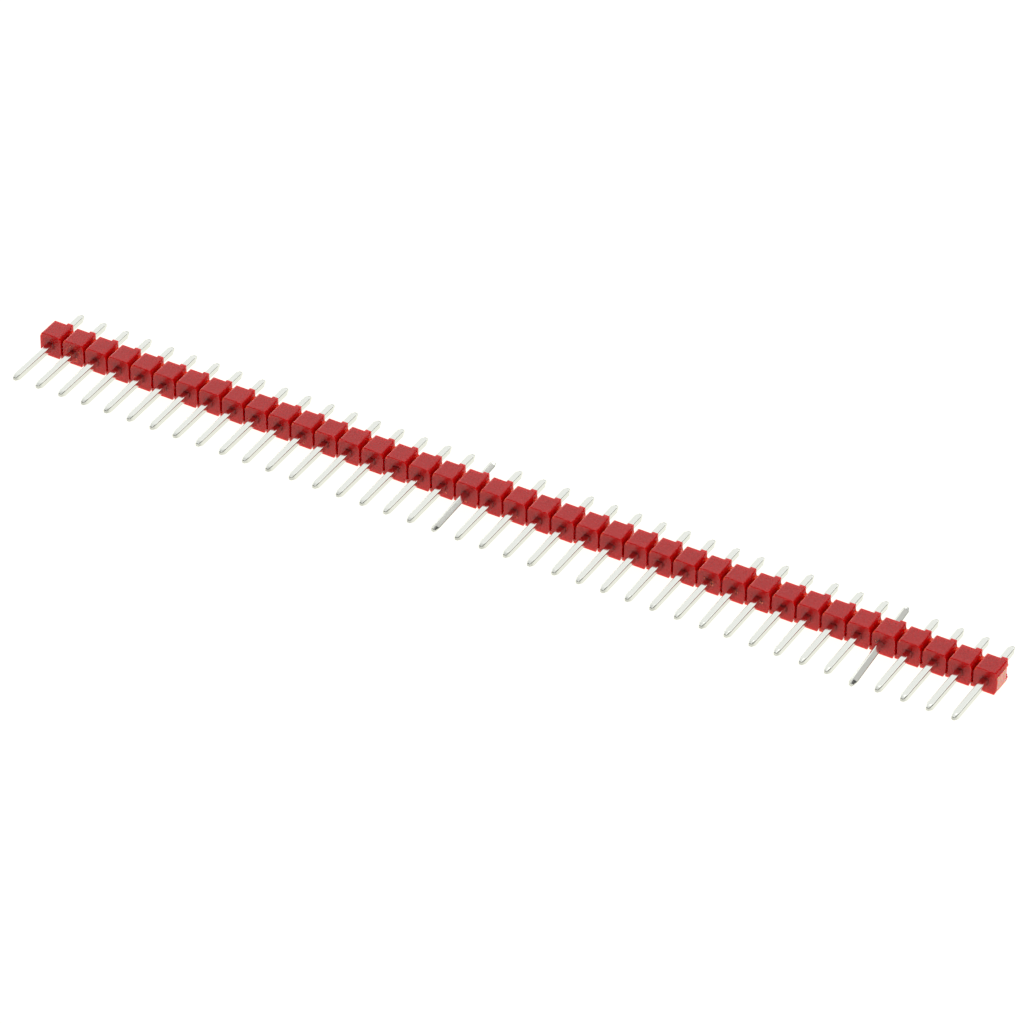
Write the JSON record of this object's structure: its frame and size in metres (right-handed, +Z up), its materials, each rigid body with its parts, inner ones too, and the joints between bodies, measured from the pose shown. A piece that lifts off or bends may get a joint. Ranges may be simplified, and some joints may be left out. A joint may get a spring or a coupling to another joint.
{
  "type": "pin header strip",
  "caption": "Straight single-row pin header strip: square tinned pins through a red break-away housing, lying on its side.",
  "frame": {"origin": "on the surface the strip lies on, under the axis of pin 1, at the middle of the housing's depth", "axes": "+X along the row from pin 1 to pin 40, -Y out of the long mating posts, +Y out of the short solder tails, +Z up"},
  "size_m": [0.1015, 0.0116, 0.0025],
  "materials": {
    "housing": "moulded red thermoplastic, slightly translucent, satin gloss",
    "pin": "bright tin plate over brass"
  },
  "bodies": {
    "root": {"housing": "housing", "pin_01": "pin", "pin_02": "pin", "pin_03": "pin", "pin_04": "pin", "pin_05": "pin", "pin_06": "pin", "pin_07": "pin", "pin_08": "pin", "pin_09": "pin", "pin_10": "pin", "pin_11": "pin", "pin_12": "pin", "pin_13": "pin", "pin_14": "pin", "pin_15": "pin", "pin_16": "pin", "pin_17": "pin", "pin_18": "pin", "pin_19": "pin", "pin_20": "pin", "pin_21": "pin", "pin_22": "pin", "pin_23": "pin", "pin_24": "pin", "pin_25": "pin", "pin_26": "pin", "pin_27": "pin", "pin_28": "pin", "pin_29": "pin", "pin_30": "pin", "pin_31": "pin", "pin_32": "pin", "pin_33": "pin", "pin_34": "pin", "pin_35": "pin", "pin_36": "pin", "pin_37": "pin", "pin_38": "pin", "pin_39": "pin", "pin_40": "pin"}
  },
  "joints": []
}
